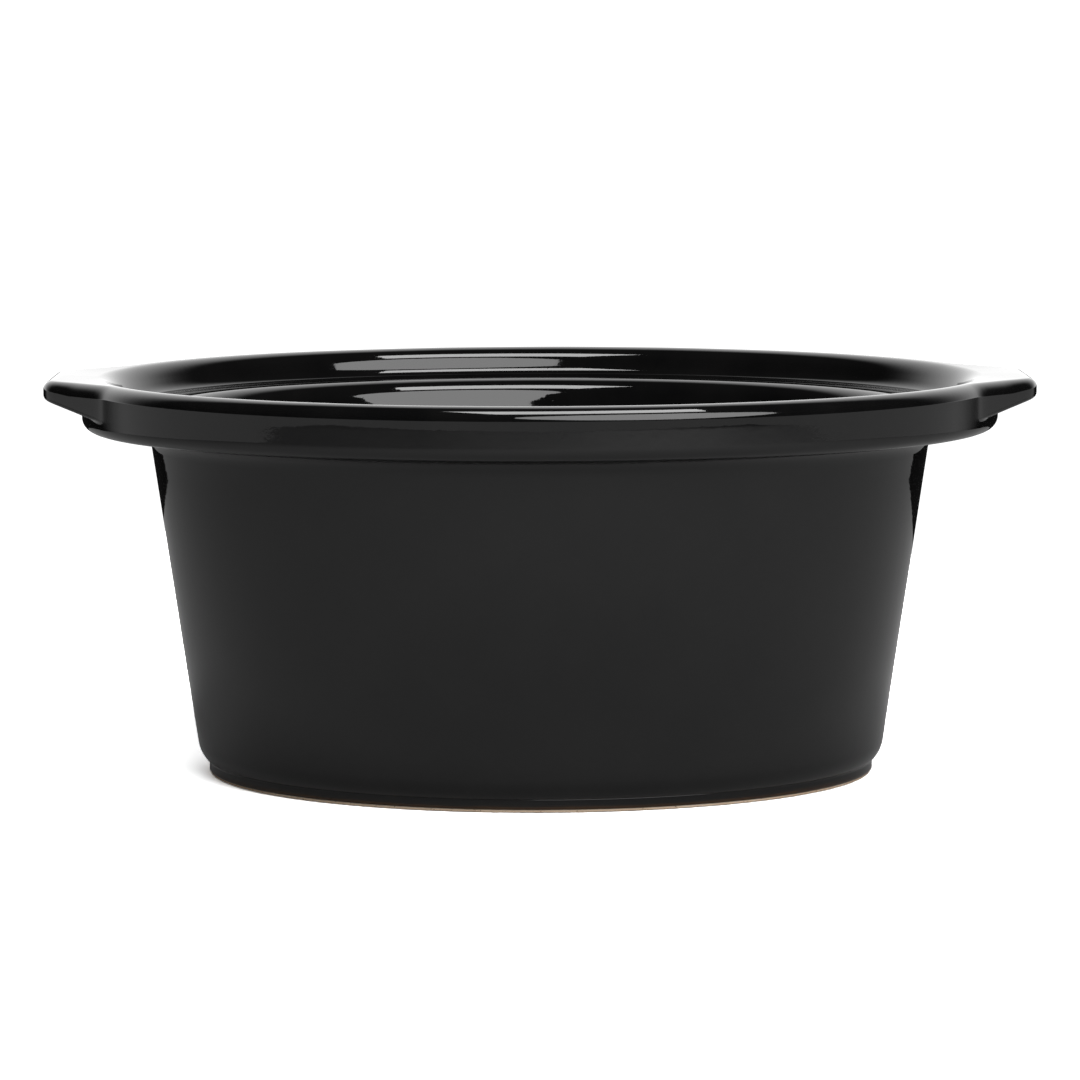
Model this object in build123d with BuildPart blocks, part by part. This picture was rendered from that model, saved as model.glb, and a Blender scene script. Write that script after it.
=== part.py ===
from build123d import *
import math
import os

# Oval stoneware crock of a slow cooker: one fired clay body and the glaze fused to it.
# Millimetres. +X runs along the oval's length, through both lugs, +Z is up, the table is z = 0.
# Ovals are ellipses, given as (half length along X, half depth along Y).

RIM_HEIGHT = 148.0
RIM_OVAL = (169.5, 136.0)
RIM_ROLL = 5.0  # outer edge of the rim's top
RIM_THICKNESS = 10.5  # at the rim's top
RIM_LIP_ROLL = 6.5  # inner edge of the rim's top
RIM_INNER_LEAN = 2.9  # how much further in the rim's inner wall is at the ledge

COLLAR_HEIGHT = 19.5
COLLAR_LOWER_EDGE = 4.8
COLLAR_NECK_BLEND = 4.0

LUG_REACH = 182.0  # lug tip from the crock's centre
LUG_TIP_HALF_WIDTH = 25.0
LUG_TIP_THICKNESS = 7.0
LUG_UNDERSIDE_SLOPE = 0.28  # millimetres thicker for each millimetre nearer the centre
LUG_ROOT = 138.0  # the lug's hidden end, inside the collar
LUG_CORNER = 12.0
LUG_LOWER_EDGE = 2.2

NECK_OVAL = (144.9, 113.9)  # outside of the wall where it meets the collar
HEEL_OVAL = (126.6, 95.6)  # outside of the wall, run on down to the base
BASE_HEIGHT = 1.6  # underside of the base, inside the foot ring
HEEL_ROUND = 12.0
FLOOR_HEIGHT = 11.0
FLOOR_OVAL = (117.0, 86.0)  # inside of the wall, run on down to the floor
FLOOR_ROUND = 20.0
MOUTH_OVAL = (136.0, 103.0)  # inside of the wall, run on up to the ledge
MOUTH_ROLL = 7.0

LEDGE_DEPTH = 10.7  # lid ledge below the rim's top
LEDGE_CORNER = 4.8

FOOT_OVAL = (124.0, 93.0)
FOOT_WIDTH = 10.0
FOOT_EDGE = 0.8
FOOT_CORE_HEIGHT = 8.0  # how far the foot's solid runs up into the base

GLAZE = 0.4
BARE_FOOT_HEIGHT = 1.2  # lowest band of the foot, left without glaze


def grown(oval, amount):
    """The oval made larger all round by amount, or smaller where it is negative."""
    return oval[0] + amount, oval[1] + amount


def lug(skin):
    """The +X lug, its surfaces moved inwards by skin: a tab with slanting sides and a flat tip."""
    top = RIM_HEIGHT - skin
    tip = LUG_REACH - skin
    tip_half_width = LUG_TIP_HALF_WIDTH - skin * (math.sqrt(2) - 1)
    root_half_width = tip_half_width + tip - LUG_ROOT
    tip_underside = top - LUG_TIP_THICKNESS + 2 * skin
    root_underside = tip_underside - LUG_UNDERSIDE_SLOPE * (tip - LUG_ROOT)
    with BuildPart() as tab:
        with BuildSketch(Plane.XY.offset(top)):
            with BuildLine():
                Polyline(
                    (LUG_ROOT, -root_half_width),
                    (tip, -tip_half_width),
                    (tip, tip_half_width),
                    (LUG_ROOT, root_half_width),
                    close=True,
                )
            make_face()
        extrude(amount=-COLLAR_HEIGHT)
        fillet(tab.edges().filter_by(Axis.Z).group_by(Axis.X)[-1], LUG_CORNER - skin)
        with BuildSketch(Plane.XZ):
            with BuildLine():
                Polyline((LUG_ROOT, top), (tip, top), (tip, tip_underside), (LUG_ROOT, root_underside), close=True)
            make_face()
        extrude(amount=root_half_width, both=True, mode=Mode.INTERSECT)
        top_edges = tab.faces().sort_by(Axis.Z)[-1].edges().sort_by(Axis.X)[1:]
        fillet(top_edges, RIM_ROLL - skin)
        underside = tab.faces().filter_by(GeomType.PLANE).sort_by(lambda face: face.normal_at().Z)[0]
        fillet(underside.edges().sort_by(Axis.X)[1:], LUG_LOWER_EDGE - skin)
    return tab.part


def hollow(skin):
    """The space inside: the food cavity with its rounded floor, and the lid's recess above it."""
    top = RIM_HEIGHT - skin
    ledge = top - LEDGE_DEPTH
    with BuildPart() as space:
        with BuildSketch(Plane.XY.offset(FLOOR_HEIGHT - skin)):
            Ellipse(*grown(FLOOR_OVAL, skin))
        with BuildSketch(Plane.XY.offset(ledge)):
            Ellipse(*grown(MOUTH_OVAL, skin))
        loft(ruled=True)
        fillet(space.faces().sort_by(Axis.Z)[0].edges(), FLOOR_ROUND + skin)
        with BuildSketch(Plane.XY.offset(ledge)):
            Ellipse(*grown(RIM_OVAL, skin - RIM_THICKNESS - RIM_INNER_LEAN))
        with BuildSketch(Plane.XY.offset(top)):
            Ellipse(*grown(RIM_OVAL, skin - RIM_THICKNESS))
        loft(ruled=True)
        recess_floor = space.faces().filter_by(Plane.XY).sort_by(Axis.Z)[1]
        outer, inner = recess_floor.edges().sort_by(lambda edge: -edge.length)[:2]
        fillet(outer, LEDGE_CORNER + skin)
        fillet(inner, MOUTH_ROLL - skin)
    return space.part


def crock(skin):
    """The whole crock, its surfaces moved inwards by skin. Skin 0 is the outside of the glaze."""
    top = RIM_HEIGHT - skin
    collar_underside = RIM_HEIGHT - COLLAR_HEIGHT + skin
    with BuildPart() as form:
        with BuildSketch(Plane.XY.offset(BASE_HEIGHT + skin)):
            Ellipse(*grown(HEEL_OVAL, -skin))
        with BuildSketch(Plane.XY.offset(collar_underside)):
            Ellipse(*grown(NECK_OVAL, -skin))
        loft(ruled=True)
        fillet(form.faces().sort_by(Axis.Z)[0].edges(), HEEL_ROUND - skin)

        with BuildSketch(Plane.XY.offset(collar_underside)):
            Ellipse(*grown(RIM_OVAL, -skin))
        extrude(amount=top - collar_underside)
        fillet(form.faces().sort_by(Axis.Z)[-1].edges(), RIM_ROLL - skin)
        collar_face = form.faces().filter_by(Plane.XY).sort_by(Axis.Z)[1]
        outer, inner = collar_face.edges().sort_by(lambda edge: -edge.length)[:2]
        fillet(outer, COLLAR_LOWER_EDGE - skin)
        fillet(inner, COLLAR_NECK_BLEND + skin)

        plus_x_lug = lug(skin)
        add(plus_x_lug)
        add(mirror(plus_x_lug, about=Plane.YZ, mode=Mode.PRIVATE))
        add(hollow(skin), mode=Mode.SUBTRACT)
        lip_edge = form.faces().sort_by(Axis.Z)[-1].inner_wires()[0].edges()
        fillet(lip_edge, RIM_LIP_ROLL - skin)

        with BuildSketch(Plane.XY):
            Ellipse(*grown(FOOT_OVAL, -skin))
        extrude(amount=FOOT_CORE_HEIGHT)
        fillet(form.faces().sort_by(Axis.Z)[0].edges(), FOOT_EDGE)
        with BuildSketch(Plane.XY):
            Ellipse(*grown(FOOT_OVAL, -FOOT_WIDTH))
        extrude(amount=BASE_HEIGHT + skin, mode=Mode.SUBTRACT)
    return form.part


os.makedirs("parts", exist_ok=True)

with BuildPart() as stoneware_body:
    add(crock(GLAZE))
stoneware_body.part.label = "stoneware_body"
export_step(stoneware_body.part, "parts/stoneware_body.step")

# The glazed patch under the base, inside the foot ring.
with BuildPart() as base_glaze:
    with BuildSketch(Plane.XY.offset(BASE_HEIGHT)):
        Ellipse(*grown(FOOT_OVAL, -FOOT_WIDTH))
    extrude(amount=GLAZE)
base_glaze.part.label = "base_glaze"
export_step(base_glaze.part, "parts/base_glaze.step")

# The glaze wraps the rest of the body, except the foot's lowest band.
with BuildPart() as glaze_coat:
    add(crock(0.0))
    add(stoneware_body.part, mode=Mode.SUBTRACT)
    add(base_glaze.part, mode=Mode.SUBTRACT)
    with BuildSketch(Plane.XY.offset(BARE_FOOT_HEIGHT)):
        Rectangle(3 * LUG_REACH, 3 * LUG_REACH)
    extrude(amount=2 * RIM_HEIGHT, mode=Mode.INTERSECT)
glaze_coat.part.label = "glaze_coat"
export_step(glaze_coat.part, "parts/glaze_coat.step")
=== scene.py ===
"""Black glazed oval crock of a slow cooker, on a plain white table in soft studio light. Metres."""

import math

import bpy
import numpy as np
from mathutils import Matrix, Vector


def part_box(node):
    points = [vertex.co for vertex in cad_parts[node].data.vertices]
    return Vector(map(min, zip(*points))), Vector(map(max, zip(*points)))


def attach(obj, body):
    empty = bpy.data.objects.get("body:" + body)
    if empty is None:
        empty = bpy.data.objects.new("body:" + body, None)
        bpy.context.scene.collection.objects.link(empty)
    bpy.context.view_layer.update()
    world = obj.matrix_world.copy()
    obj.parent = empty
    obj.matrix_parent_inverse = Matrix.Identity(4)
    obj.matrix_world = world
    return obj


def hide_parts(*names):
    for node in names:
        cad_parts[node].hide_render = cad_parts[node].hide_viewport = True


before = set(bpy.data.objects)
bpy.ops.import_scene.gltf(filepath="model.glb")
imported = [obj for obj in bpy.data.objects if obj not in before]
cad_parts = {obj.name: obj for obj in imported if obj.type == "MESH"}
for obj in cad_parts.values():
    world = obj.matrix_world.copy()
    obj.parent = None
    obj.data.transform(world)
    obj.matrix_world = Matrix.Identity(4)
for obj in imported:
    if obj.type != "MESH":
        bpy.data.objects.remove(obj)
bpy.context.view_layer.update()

# ---------------------------------------------------------------- sizes
# These are the CAD's sizes, except where a comment says that the smooth surface differs.
# Ovals are ellipses, given as (half length along X, half depth along Y).
glaze_low, glaze_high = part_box("glaze_coat")
RIM_HEIGHT = glaze_high.z
LUG_REACH = glaze_high.x
LUG_PAST_RIM = 0.0125
RIM_OVAL = np.array((LUG_REACH - LUG_PAST_RIM, glaze_high.y))
RIM_ROLL = 0.005
RIM_THICKNESS = 0.0105
RIM_LIP_ROLL = 0.0065
RIM_INNER_LEAN = 0.0029
RIM_CROWN = 0.00025  # not in the CAD: how far the flat of the rim falls towards the lip
RIM_CROWN_BLEND = 0.012  # how softly it starts to fall
RIM_FLAT_START = 0.0003  # where the flat of the rim begins, inwards of the outer edge's roll

COLLAR_HEIGHT = 0.0195
COLLAR_LOWER_EDGE = 0.0048
COLLAR_NECK_BLEND = 0.008  # softer than the CAD's 4 mm

LUG_TIP_HALF_WIDTH = 0.025
LUG_TIP_THICKNESS = 0.0070
LUG_UNDERSIDE_SLOPE = 0.28
LUG_CORNER = 0.012
LUG_LOWER_EDGE = 0.0022
LUG_ROOT_BLEND = 0.006  # not in the CAD: the hollow where a lug's underside meets the collar
LUG_SIDE_BLEND = 0.0009  # not in the CAD: softness of the hollow where a lug's side meets the rim
LUG_FADE = (0.070, 0.080)  # |y| between which the lug's outline gives way to the rim's
LUG_ABOVE_COLLAR_EDGE = 0.0012  # the lugs' undersides stay this far above the collar's lower rounding
ROWS_APART = 0.0012  # between the two rings of a lug's underside where the outline has no lug
ROWS_APART_DOWN = 0.2  # the share of it by which the lower one of the two sinks as well
LUG_BEGINS = (0.0, 0.004)  # reach past the rim between which those rings come together

NECK_OVAL = np.array((0.1449, 0.1139))
HEEL_OVAL = np.array((0.1266, 0.0956))
BASE_HEIGHT = 0.0016
HEEL_ROUND = 0.012
FLOOR_HEIGHT = 0.011
FLOOR_OVAL = np.array((0.117, 0.086))
FLOOR_ROUND = 0.020
MOUTH_OVAL = np.array((0.136, 0.103))
MOUTH_ROLL = 0.007
LEDGE_DEPTH = 0.0107
LEDGE_CORNER = 0.0048
WALL_SWELL_HEIGHT = 0.105
WALL_SWELL = 0.0008  # not in the CAD: the inner wall stands this far in, to cover the clay's facets
WALL_SWELL_ROUND = 2.0  # so large that the straights beside it set how far the rounding runs
FOOT_OVAL = np.array((0.124, 0.093))
FOOT_CREASE_BLEND = 0.0012  # not in the CAD: softness of the crease above the foot
GLAZE = 0.0004
GLAZE_LINE = glaze_low.z

AROUND = 320  # points around the oval
BUNCHING = 0.2  # how much closer together they are at the lugs
CENTRE_RING = 0.02  # size of the smallest ring on the floor, as a share of the floor's oval
SMALLEST_ROUNDING = 0.0004

# Slow hollows in the glaze: share of the depth, then for each of two crossed waves its radians for each
# metre along X, Y and Z and its phase.
HOLLOW_DEPTH = 0.00008
HOLLOWS = (
    (1.0, (31, 0, 17, 0.6), (0, 27, -13, 1.9)),
    (0.6, (63, -22, 0, 2.4), (0, 35, 41, 0.3)),
)
HOLLOWS_COME_IN = (0.004, 0.03)  # heights above the table


# ---------------------------------------------------------------- the glazed surface
def angles():
    """Angles around the oval, closer together at the lugs."""
    turn = np.arange(AROUND) * 2 * math.pi / AROUND
    return turn - BUNCHING * np.sin(2 * turn)


THETA = angles()


def ring(oval, height):
    """An ellipse as AROUND points. Its half sizes and its height may differ from point to point."""
    points = np.empty((AROUND, 3))
    points[:, 0] = oval[0] * np.cos(THETA)
    points[:, 1] = oval[1] * np.sin(THETA)
    points[:, 2] = height
    return points


def smooth_step(value, low, high):
    """0 up to low, 1 from high on, and a soft rise between them."""
    share = np.clip((value - low) / (high - low), 0, 1)
    return share * share * (3 - 2 * share)


def lug_outline_x(across):
    """How far out the lug's outline is at a distance across from the long axis."""
    # A flat tip, round corners and sides that slant at 45 degrees.
    side = LUG_REACH + LUG_TIP_HALF_WIDTH - across
    centre_x = LUG_REACH - LUG_CORNER
    centre_y = LUG_TIP_HALF_WIDTH - LUG_CORNER * math.tan(math.pi / 8)
    corner_width = LUG_CORNER * math.sin(math.pi / 4)
    inside = np.clip(across - centre_y, 0, corner_width)
    corner = centre_x + np.sqrt(LUG_CORNER**2 - inside**2)
    return np.where(across < centre_y + corner_width, corner, side)


def outline(height):
    """The rim's outer edge with both lugs, its unit normals in plan, and its reach past the bare rim."""
    points = ring(RIM_OVAL, height)
    across = np.abs(points[:, 1])
    gap = lug_outline_x(across) - np.abs(points[:, 0])
    soft_gap = (gap + np.sqrt(gap**2 + LUG_SIDE_BLEND**2)) / 2
    reach = soft_gap * (1 - smooth_step(across, *LUG_FADE))
    points[:, 0] += reach * np.sign(points[:, 0])
    along = np.roll(points, -1, 0) - np.roll(points, 1, 0)
    normals = np.stack((along[:, 1], -along[:, 0], np.zeros(AROUND)), 1)
    return points, normals / np.linalg.norm(normals, axis=1)[:, None], reach


def rounded(before, corner, after, radius, share_before, share_after, steps):
    """Rings of the arc that rounds a corner. It may use up to a share of each straight beside it."""
    back = before - corner
    on = after - corner
    back_length = np.linalg.norm(back, axis=1)
    on_length = np.linalg.norm(on, axis=1)
    cosine = np.clip(np.sum(back * on, axis=1) / (back_length * on_length), -1, 1)
    turn = math.pi - np.arccos(cosine)
    tangent = np.maximum(radius * np.tan(turn / 2), SMALLEST_ROUNDING)
    tangent = np.minimum(tangent, np.minimum(share_before * back_length, share_after * on_length))
    start = corner + back * (tangent / back_length)[:, None]
    end = corner + on * (tangent / on_length)[:, None]
    weight = np.cos(turn / 2)[:, None]
    rings = []
    # A rational curve of the second degree, which with this weight is an arc of a circle.
    for step in range(steps + 1):
        t = step / steps
        near = (1 - t) ** 2
        middle = 2 * t * (1 - t) * weight
        far = t**2
        rings.append((near * start + middle * corner + far * end) / (near + middle + far))
    return rings


def heel_corners():
    """The crease where the heel's arc meets the foot's side, and the corner that the arc rounds above it."""
    lean = math.atan((NECK_OVAL[0] - HEEL_OVAL[0]) / (RIM_HEIGHT - COLLAR_HEIGHT - BASE_HEIGHT))
    tangent = HEEL_ROUND * math.tan((math.pi / 2 - lean) / 2)
    gap = HEEL_OVAL - FOOT_OVAL
    inset = gap[0] * np.cos(THETA) ** 2 + gap[1] * np.sin(THETA) ** 2
    rise = np.arcsin((tangent - inset) / HEEL_ROUND)
    crease = ring(FOOT_OVAL, BASE_HEIGHT + HEEL_ROUND * (1 - np.cos(rise)))
    side = HEEL_ROUND * np.tan((math.pi / 2 - lean - rise) / 2)
    outward = side * np.cos(rise)
    corner = ring((FOOT_OVAL[0] + outward, FOOT_OVAL[1] + outward), crease[:, 2] + side * np.sin(rise))
    return crease, corner


def surface_rings():
    """Rings of the glazed surface, from the glaze line on the foot, over the rim, to the floor."""
    underside_z = RIM_HEIGHT - LUG_TIP_THICKNESS
    collar_z = RIM_HEIGHT - COLLAR_HEIGHT
    ledge_z = RIM_HEIGHT - LEDGE_DEPTH
    lowest_lug = collar_z + COLLAR_LOWER_EDGE + LUG_ABOVE_COLLAR_EDGE
    edge, normal, reach = outline(RIM_HEIGHT)
    apart = ROWS_APART * (1 - smooth_step(reach, *LUG_BEGINS))

    def lug_underside(points):
        from_tip = LUG_REACH - np.abs(points[:, 0])
        return np.maximum(underside_z - LUG_UNDERSIDE_SLOPE * from_tip, lowest_lug)

    foot = ring(FOOT_OVAL, GLAZE_LINE)
    crease, heel = heel_corners()
    neck = ring(NECK_OVAL, collar_z)
    collar = ring(RIM_OVAL, collar_z)
    root = ring(RIM_OVAL, 0)
    root[:, 2] = lug_underside(root) - apart * ROWS_APART_DOWN
    lower = edge.copy()
    lower[:, 2] = lug_underside(edge) + apart
    inner_top = edge - normal * (RIM_ROLL + RIM_FLAT_START)
    lip = ring(RIM_OVAL - RIM_THICKNESS, RIM_HEIGHT - RIM_CROWN)
    ledge = ring(RIM_OVAL - RIM_THICKNESS - RIM_INNER_LEAN, ledge_z)
    mouth = ring(MOUTH_OVAL, ledge_z)
    up_wall = (WALL_SWELL_HEIGHT - FLOOR_HEIGHT) / (ledge_z - FLOOR_HEIGHT)
    swell_oval = FLOOR_OVAL + (MOUTH_OVAL - FLOOR_OVAL) * up_wall - WALL_SWELL
    swell = ring(swell_oval, WALL_SWELL_HEIGHT)
    floor = ring(FLOOR_OVAL, FLOOR_HEIGHT)
    middle = ring(FLOOR_OVAL * CENTRE_RING, FLOOR_HEIGHT)

    # Each row is a ring and the radius that rounds it, then the shares of the straights before and after
    # it that the rounding may use, the steps of its arc, and the steps of the straight after it.
    rows = (
        (foot, 0, 0, 0, 0, 3),
        (crease, FOOT_CREASE_BLEND, 0.45, 0.45, 4, 1),
        (heel, HEEL_ROUND, 0.99, 0.45, 10, 12),
        (neck, COLLAR_NECK_BLEND, 0.45, 0.45, 7, 3),
        (collar, COLLAR_LOWER_EDGE, 0.45, 0.8, 8, 1),
        (root, LUG_ROOT_BLEND, 0.2, 0.45, 4, 1),
        (lower, LUG_LOWER_EDGE, 0.45, 0.45, 5, 2),
        (edge, RIM_ROLL, 0.5, 0.98, 9, 1),
        (inner_top, RIM_CROWN_BLEND, 0.02, 0.3, 1, 1),
        (lip, RIM_LIP_ROLL, 0.98, 0.55, 9, 1),
        (ledge, LEDGE_CORNER, 0.45, 0.5, 7, 3),
        (mouth, MOUTH_ROLL, 0.5, 0.45, 9, 4),
        (swell, WALL_SWELL_ROUND, 0.45, 0.45, 8, 8),
        (floor, FLOOR_ROUND, 0.45, 0.9, 10, 8),
        (middle, 0, 0, 0, 0, 0),
    )
    rings = []
    steps_before = 0
    for index, (corner, radius, share_before, share_after, arc_steps, steps_after) in enumerate(rows):
        arc = [corner]
        if radius:
            before = rows[index - 1][0]
            after = rows[index + 1][0]
            arc = rounded(before, corner, after, radius, share_before, share_after, arc_steps)
        start = rings[-1] if rings else corner
        rings += [start + (arc[0] - start) * step / steps_before for step in range(1, steps_before)]
        rings += arc
        steps_before = steps_after
    return rings


def hollows(points):
    """Depth of the slow hollows in the glaze, at most about 0.13 mm and nothing at the foot."""
    total = np.zeros(len(points))
    for share, *waves in HOLLOWS:
        product = share
        for *across, phase in waves:
            product = product * np.sin(points @ np.array(across) + phase)
        total += product
    return HOLLOW_DEPTH * np.abs(total) * smooth_step(points[:, 2], *HOLLOWS_COME_IN)


def build_crock():
    """The glaze as a thin shell around the clay, open underneath."""
    rings = surface_rings()
    vertices = np.concatenate(rings)
    faces = []
    for row in range(len(rings) - 1):
        for column in range(AROUND):
            right = (column + 1) % AROUND
            low = row * AROUND
            high = low + AROUND
            faces.append((low + column, low + right, high + right, high + column))
    last = (len(rings) - 1) * AROUND
    centre = len(vertices)
    vertices = np.concatenate((vertices, [(0, 0, FLOOR_HEIGHT)]))
    faces += [(last + column, last + (column + 1) % AROUND, centre) for column in range(AROUND)]
    mesh = bpy.data.meshes.new("glazed_crock")
    mesh.from_pydata(vertices.tolist(), [], faces)
    mesh.update()
    normals = np.array([vertex.normal for vertex in mesh.vertices])
    moved = vertices - normals * hollows(vertices)[:, None]
    mesh.vertices.foreach_set("co", moved.ravel())
    mesh.shade_smooth()
    crock = bpy.data.objects.new("glazed_crock", mesh)
    bpy.context.scene.collection.objects.link(crock)
    shell = crock.modifiers.new("thickness", "SOLIDIFY")
    shell.thickness = GLAZE
    shell.offset = -1
    shell.use_quality_normals = True
    return crock


# ---------------------------------------------------------------- materials
# Distances in metres, colours as linear red, green and blue, scales as features for each metre.
NOISE_VALUES = (0.3, 0.7)  # where most of a noise's values lie
GLAZE_BLACKS = ((0.35, (0.0028, 0.0028, 0.0029)), (0.65, (0.0044, 0.0043, 0.0043)))
GLAZE_GLOSS = (0.02, 0.05)  # lowest and highest roughness
GLAZE_REFRACTION = 1.5
THIN_GLAZE_BROWN = (0.045, 0.022, 0.008)
THIN_GLAZE = (GLAZE_LINE + 0.0006, GLAZE_LINE + 0.0024)  # heights between which the brown fades out
THIN_GLAZE_WANDER = 0.0012  # by how much those heights vary around the foot
RIPPLE_DEPTH = 0.00003
PEEL_DEPTH = 0.00001
PINHOLE_DEPTH = 0.00012
PINHOLE_SIZE = 0.014  # as a share of the distance between pinholes
CLAY_TANS = ((0.3, (0.62, 0.46, 0.32)), (0.55, (0.76, 0.60, 0.45)), (0.75, (0.84, 0.70, 0.56)))
CLAY_MATT = (0.7, 0.95)  # lowest and highest roughness
CLAY_SPECK_BROWN = (0.16, 0.08, 0.04)
CLAY_SPECK_EDGE = (0.62, 0.72)  # values of the noise between which a speck comes in
CLAY_SPECK_STRENGTH = 0.7
CLAY_GRAIN_DEPTH = 0.00008
MIX_SHARE, MIX_BASE, MIX_TINT, MIX_RESULT = 0, 6, 7, 2  # the colour sockets of a Mix node


def node(tree, kind, place, **settings):
    """A new node at a place in the node editor."""
    made = tree.nodes.new(kind)
    made.location = place
    for key, value in settings.items():
        setattr(made, key, value)
    return made


def ramp(tree, place, value, stops):
    """Colours for a value, by the given (position, colour) stops."""
    made = node(tree, "ShaderNodeValToRGB", place)
    elements = made.color_ramp.elements
    elements[0].position, elements[0].color = stops[0][0], (*stops[0][1], 1)
    elements[1].position, elements[1].color = stops[-1][0], (*stops[-1][1], 1)
    for position, colour in stops[1:-1]:
        elements.new(position).color = (*colour, 1)
    tree.links.new(value, made.inputs["Fac"])
    return made.outputs["Color"]


def noise(tree, place, coordinates, scale, detail, roughness=0.5):
    """A noise texture's values."""
    made = node(tree, "ShaderNodeTexNoise", place)
    made.inputs["Scale"].default_value = scale
    made.inputs["Detail"].default_value = detail
    made.inputs["Roughness"].default_value = roughness
    tree.links.new(coordinates, made.inputs["Vector"])
    return made.outputs["Fac"]


def mapped(tree, place, value, given, wanted):
    """A value taken softly from the given range, a (low, high) pair, to the wanted one."""
    made = node(tree, "ShaderNodeMapRange", place, interpolation_type="SMOOTHSTEP")
    for name, number in zip(("From Min", "From Max", "To Min", "To Max"), (*given, *wanted)):
        made.inputs[name].default_value = number
    tree.links.new(value, made.inputs["Value"])
    return made.outputs["Result"]


def worked_out(tree, place, operation, first, second):
    """The result of a Math node with two values."""
    made = node(tree, "ShaderNodeMath", place, operation=operation)
    tree.links.new(first, made.inputs[0])
    tree.links.new(second, made.inputs[1])
    return made.outputs[0]


def tinted(tree, place, share, base, tint):
    """The base colour, giving way to a tint as the share goes to 1."""
    made = node(tree, "ShaderNodeMix", place, data_type="RGBA")
    made.inputs[MIX_TINT].default_value = (*tint, 1)
    tree.links.new(share, made.inputs[MIX_SHARE])
    tree.links.new(base, made.inputs[MIX_BASE])
    return made.outputs[MIX_RESULT]


def relief(tree, place, height, depth, under=None):
    """Normals of a relief of the given depth, on top of the relief under it."""
    made = node(tree, "ShaderNodeBump", place)
    made.inputs["Distance"].default_value = depth
    tree.links.new(height, made.inputs["Height"])
    if under is not None:
        tree.links.new(under, made.inputs["Normal"])
    return made.outputs["Normal"]


def new_material(name):
    """A material, its node tree, its shader and the coordinates that its textures use."""
    material = bpy.data.materials.new(name)
    material.use_nodes = True
    tree = material.node_tree
    place = node(tree, "ShaderNodeTexCoord", (-1500, 0)).outputs["Object"]
    return material, tree, tree.nodes["Principled BSDF"], place


def black_glaze():
    """Glossy black fired glaze: a little uneven, with rare pinholes, thin and brown lowest down."""
    material, tree, shader, place = new_material("black_glaze")
    shader.inputs["IOR"].default_value = GLAZE_REFRACTION

    mottle = noise(tree, (-1300, 0), place, scale=38, detail=6, roughness=0.6)
    tone = ramp(tree, (-900, 0), mottle, GLAZE_BLACKS)
    height = node(tree, "ShaderNodeSeparateXYZ", (-1300, 300))
    tree.links.new(place, height.inputs[0])
    wander = noise(tree, (-1300, 600), place, scale=70, detail=3)
    drop = node(tree, "ShaderNodeMath", (-1100, 450), operation="MULTIPLY_ADD")
    drop.inputs[1].default_value = THIN_GLAZE_WANDER
    tree.links.new(wander, drop.inputs[0])
    tree.links.new(height.outputs["Z"], drop.inputs[2])
    thin = mapped(tree, (-900, 450), drop.outputs[0], THIN_GLAZE, (1, 0))
    colour = tinted(tree, (-500, 200), thin, tone, THIN_GLAZE_BROWN)
    tree.links.new(colour, shader.inputs["Base Color"])

    haze = noise(tree, (-1300, -300), place, scale=16, detail=5, roughness=0.6)
    gloss = mapped(tree, (-900, -300), haze, NOISE_VALUES, GLAZE_GLOSS)
    tree.links.new(gloss, shader.inputs["Roughness"])

    ripple = noise(tree, (-1300, -600), place, scale=55, detail=2, roughness=0.4)
    peel = noise(tree, (-1300, -800), place, scale=420, detail=2, roughness=0.5)
    pinholes = node(tree, "ShaderNodeTexVoronoi", (-1300, -1000), feature="F1")
    pinholes.inputs["Scale"].default_value = 70
    tree.links.new(place, pinholes.inputs["Vector"])
    pit = mapped(tree, (-900, -1000), pinholes.outputs["Distance"], (0, PINHOLE_SIZE), (-1, 0))
    normal = relief(tree, (-700, -600), ripple, RIPPLE_DEPTH)
    normal = relief(tree, (-500, -700), peel, PEEL_DEPTH, normal)
    normal = relief(tree, (-300, -800), pit, PINHOLE_DEPTH, normal)
    tree.links.new(normal, shader.inputs["Normal"])
    return material


def bare_stoneware():
    """Fired tan clay: matt, speckled and slightly sandy."""
    material, tree, shader, place = new_material("bare_stoneware")
    patches = noise(tree, (-1100, 0), place, scale=45, detail=5, roughness=0.6)
    clay = ramp(tree, (-700, 0), patches, CLAY_TANS)
    specks = noise(tree, (-1100, -300), place, scale=900, detail=2)
    dark = mapped(tree, (-700, -300), specks, CLAY_SPECK_EDGE, (0, CLAY_SPECK_STRENGTH))
    colour = tinted(tree, (-400, 0), dark, clay, CLAY_SPECK_BROWN)
    tree.links.new(colour, shader.inputs["Base Color"])
    roughness = mapped(tree, (-700, -500), specks, NOISE_VALUES, CLAY_MATT)
    tree.links.new(roughness, shader.inputs["Roughness"])
    grain = noise(tree, (-1100, -700), place, scale=1500, detail=3, roughness=0.7)
    tree.links.new(relief(tree, (-400, -600), grain, CLAY_GRAIN_DEPTH), shader.inputs["Normal"])
    return material


glaze_material = black_glaze()
clay_material = bare_stoneware()
finishes = {"stoneware_body": clay_material, "base_glaze": glaze_material, "glaze_coat": glaze_material}
for name, finish in finishes.items():
    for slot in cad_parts[name].material_slots:
        slot.material = finish

crock = build_crock()
crock.data.materials.append(glaze_material)
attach(crock, "root")
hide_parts("glaze_coat")


# ---------------------------------------------------------------- table and studio
# The table's corners in plan. Its far edges don't show, because the camera sees white on both sides of
# them, but the glaze reflects them.
TABLE = ((-1.6, -1.7), (1.6, -1.7), (1.1, -0.15), (0.2, 0.63), (-0.22, 0.75), (-1.1, -0.31))
TABLE_BELOW_FOOT = 0.0001  # so that the table and the foot don't share a plane
TABLE_WHITE = 0.36
TABLE_SEEN_GAIN = 9.0  # the camera sees the table this many times brighter, so only shadows aren't white

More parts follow.
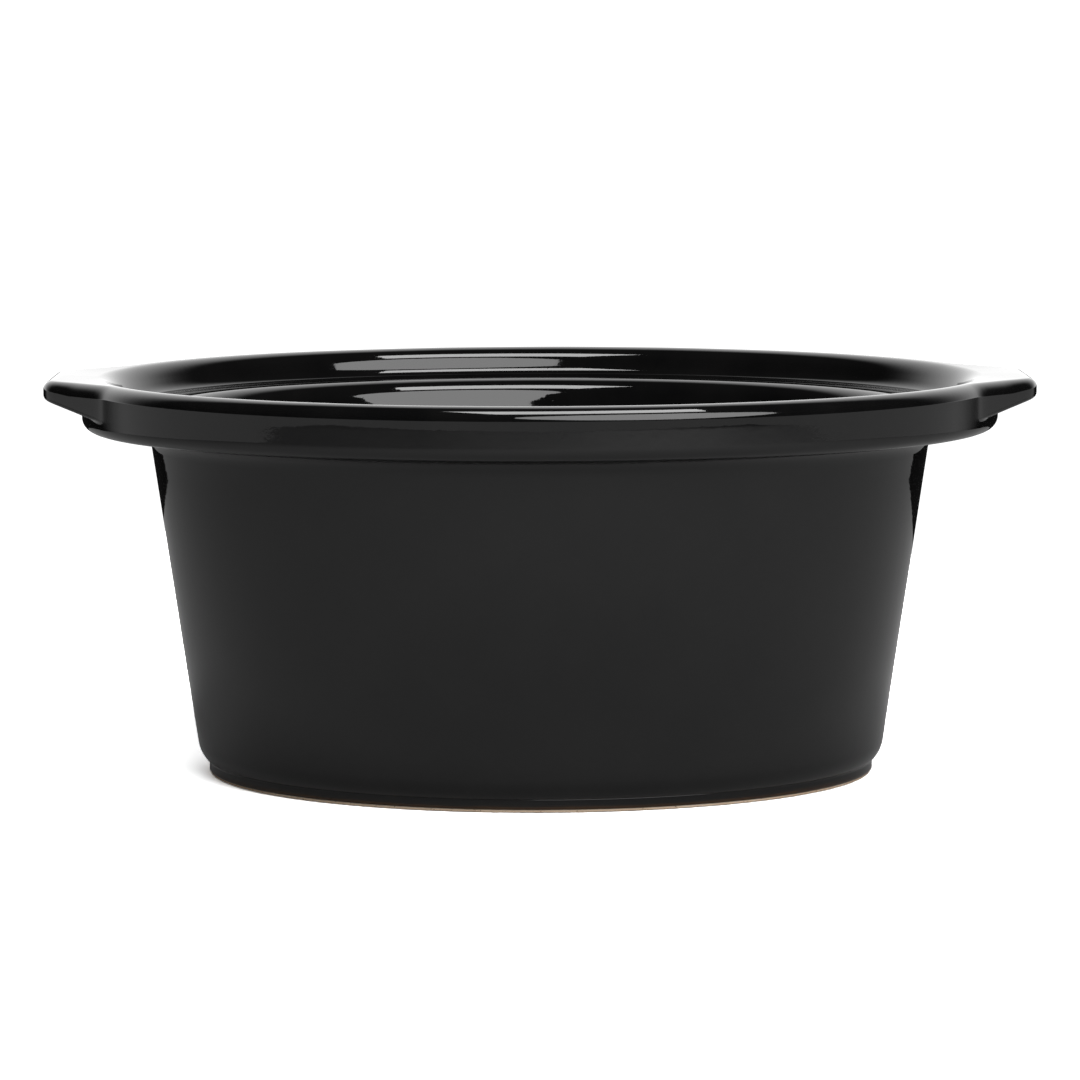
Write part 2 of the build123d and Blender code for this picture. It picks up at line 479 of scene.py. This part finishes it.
# The surroundings by direction, a unit vector that has Y to the back and Z up. The levels are strengths.
BACKDROP = 1.6
BACKDROP_SIDES = (0.08, 0.90)  # Y between which the backdrop comes in
BACKDROP_TOP = (1.2, 2.8)  # Z / Y between which it ends
ROOM = 0.010  # everything but the backdrop and the pale front
FRONT_LEVEL = 0.52
FRONT_SIDES = (0.40, 0.70)  # Y between which the pale front of the room ends
FRONT_WALL_TOP = 0.03  # Z up to which it is pale
SOFT_BORDER = 0.012  # in Z, above and below the table's level and the wall's top
SEEN_WHITE = 1.2  # what the camera sees in every direction

SENSOR_WIDTH = 36.0  # millimetres, like the lens
CAMERA_LENS = 144.197
CAMERA_PITCH = math.radians(7.035)
CAMERA_YAW = math.radians(0.365)
CAMERA_ROLL = math.radians(-0.133)
CAMERA_PLACE = Vector((-0.0104, -1.600, 0.2834))
FARTHEST_SEEN = 50


def camera_switch(tree, lit, seen, output):
    """Gives the output one shader for light and reflections and another for the camera."""
    camera_ray = node(tree, "ShaderNodeLightPath", (100, 400)).outputs["Is Camera Ray"]
    mix = node(tree, "ShaderNodeMixShader", (350, 0))
    tree.links.new(camera_ray, mix.inputs[0])
    tree.links.new(lit.outputs[0], mix.inputs[1])
    tree.links.new(seen.outputs[0], mix.inputs[2])
    tree.links.new(mix.outputs[0], output.inputs["Surface"])


def table_material():
    """Plain white table. The camera's exposure washes it out to white, except in the crock's shadow."""
    material = bpy.data.materials.new("white_table")
    material.use_nodes = True
    tree = material.node_tree
    tree.nodes.remove(tree.nodes["Principled BSDF"])
    matt = node(tree, "ShaderNodeBsdfDiffuse", (100, 0))
    matt.inputs["Color"].default_value = (*(TABLE_WHITE,) * 3, 1)
    washed_out = node(tree, "ShaderNodeBsdfDiffuse", (100, -200))
    washed_out.inputs["Color"].default_value = (*(TABLE_WHITE * TABLE_SEEN_GAIN,) * 3, 1)
    camera_switch(tree, matt, washed_out, tree.nodes["Material Output"])
    return material


def build_table():
    """One flat sheet under the crock."""
    mesh = bpy.data.meshes.new("table")
    mesh.from_pydata([(x, y, -TABLE_BELOW_FOOT) for x, y in TABLE], [], [range(len(TABLE))])
    mesh.materials.append(table_material())
    table = bpy.data.objects.new("table", mesh)
    bpy.context.scene.collection.objects.link(table)


def background(tree, place):
    """A white background shader."""
    made = node(tree, "ShaderNodeBackground", place)
    made.inputs["Color"].default_value = (1, 1, 1, 1)
    return made


def studio_world():
    """White for the camera; for light and reflections a white backdrop behind and a dim room in front."""
    world = bpy.data.worlds.new("studio")
    bpy.context.scene.world = world
    world.use_nodes = True
    tree = world.node_tree
    tree.nodes.clear()
    direction = node(tree, "ShaderNodeTexCoord", (-1200, 0)).outputs["Generated"]
    part = node(tree, "ShaderNodeSeparateXYZ", (-1000, 0))
    tree.links.new(direction, part.inputs[0])
    back = part.outputs["Y"]
    up = part.outputs["Z"]

    # The backdrop is an upright sheet behind, from the table's level up.
    rise = worked_out(tree, (-800, -100), "DIVIDE", up, back)
    behind = mapped(tree, (-600, 100), back, BACKDROP_SIDES, (0, 1))
    below_top = mapped(tree, (-600, -200), rise, BACKDROP_TOP, (1, 0))
    above_table = mapped(tree, (-600, -400), up, (-SOFT_BORDER, SOFT_BORDER), (0, 1))
    sheet = worked_out(tree, (-400, 0), "MULTIPLY", behind, below_top)
    sheet_above = worked_out(tree, (-300, -200), "MULTIPLY", sheet, above_table)
    backdrop = mapped(tree, (-200, 0), sheet_above, (0, 1), (ROOM, BACKDROP))

    # In front, the pale floor of the room and the foot of its wall.
    wall_top = (FRONT_WALL_TOP - SOFT_BORDER, FRONT_WALL_TOP + SOFT_BORDER)
    front_low = mapped(tree, (-600, -600), up, wall_top, (1, 0))
    in_front = mapped(tree, (-600, -800), back, FRONT_SIDES, (FRONT_LEVEL, 0))
    front = worked_out(tree, (-400, -700), "MULTIPLY", front_low, in_front)

    light = background(tree, (100, -100))
    tree.links.new(worked_out(tree, (-50, -200), "ADD", backdrop, front), light.inputs["Strength"])
    white = background(tree, (100, 100))
    white.inputs["Strength"].default_value = SEEN_WHITE
    camera_switch(tree, light, white, node(tree, "ShaderNodeOutputWorld", (600, 0)))


def soft_light(name, shape, place, target, width, depth, power):
    """A soft light of the given shape at a place, turned to a target. The camera doesn't see it."""
    lamp = bpy.data.lights.new(name, "AREA")
    lamp.shape = shape
    lamp.size = width
    lamp.size_y = depth
    lamp.energy = power
    made = bpy.data.objects.new(name, lamp)
    made.location = place
    made.rotation_euler = (Vector(target) - Vector(place)).to_track_quat("-Z", "Y").to_euler()
    made.visible_camera = False
    bpy.context.scene.collection.objects.link(made)


def camera():
    """The view from in front and a little above, as for a catalogue picture."""
    lens = bpy.data.cameras.new("camera")
    lens.sensor_width = SENSOR_WIDTH
    lens.lens = CAMERA_LENS
    lens.clip_end = FARTHEST_SEEN
    made = bpy.data.objects.new("camera", lens)
    ahead = math.cos(CAMERA_YAW) * math.cos(CAMERA_PITCH)
    look = Vector((math.sin(CAMERA_YAW), ahead, -math.sin(CAMERA_PITCH)))
    turn = look.normalized().to_track_quat("-Z", "Y").to_matrix().to_4x4()
    made.matrix_world = Matrix.Translation(CAMERA_PLACE) @ turn @ Matrix.Rotation(CAMERA_ROLL, 4, "Z")
    bpy.context.scene.collection.objects.link(made)
    bpy.context.scene.camera = made


build_table()
studio_world()
soft_light(
    "overhead_softbox",
    "RECTANGLE",
    place=(0.13, -0.42, 1.25),
    target=(0, 0, 0.1),
    width=0.74,
    depth=0.5,
    power=12,
)
soft_light(
    "front_octabox",
    "ELLIPSE",
    place=(0.59, -1.36, 0.88),
    target=(0, 0, 0.14),
    width=1.6,
    depth=1.2,
    power=23,
)
camera()
bpy.context.scene.view_settings.view_transform = "Standard"
